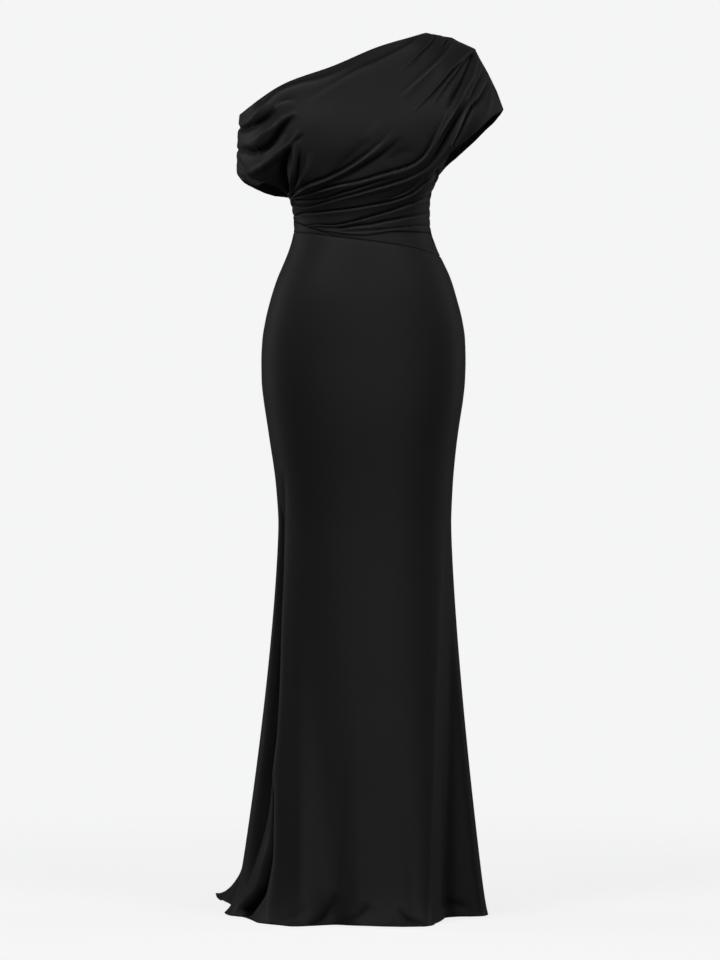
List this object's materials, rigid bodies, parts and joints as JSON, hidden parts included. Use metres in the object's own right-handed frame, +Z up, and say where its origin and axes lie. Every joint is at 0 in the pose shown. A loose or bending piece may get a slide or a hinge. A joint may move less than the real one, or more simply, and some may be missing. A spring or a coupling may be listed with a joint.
{
  "type": "one-shoulder dress",
  "caption": "Full-length one-shoulder evening dress with a draped asymmetric bodice, wrapped waist and a close skirt that opens into a short train.",
  "frame": {"origin": "the point on the shoulder seam, image right, where the wearer's shoulder holds the dress up", "axes": "+Z up, the front of the dress faces -Y, +X is on the right as one looks at the front (the wearer's left)"},
  "size_m": [0.5148, 0.6687, 1.5435],
  "materials": {
    "jersey_bodice": "matte satin-faced stretch jersey, near black",
    "jersey_skirt": "matte satin-faced stretch jersey, near black"
  },
  "bodies": {
    "root": {"bodice_front": "jersey_bodice", "bodice_back": "jersey_bodice", "waist_wrap": "jersey_bodice", "skirt_front": "jersey_skirt", "skirt_back": "jersey_skirt"}
  },
  "joints": []
}
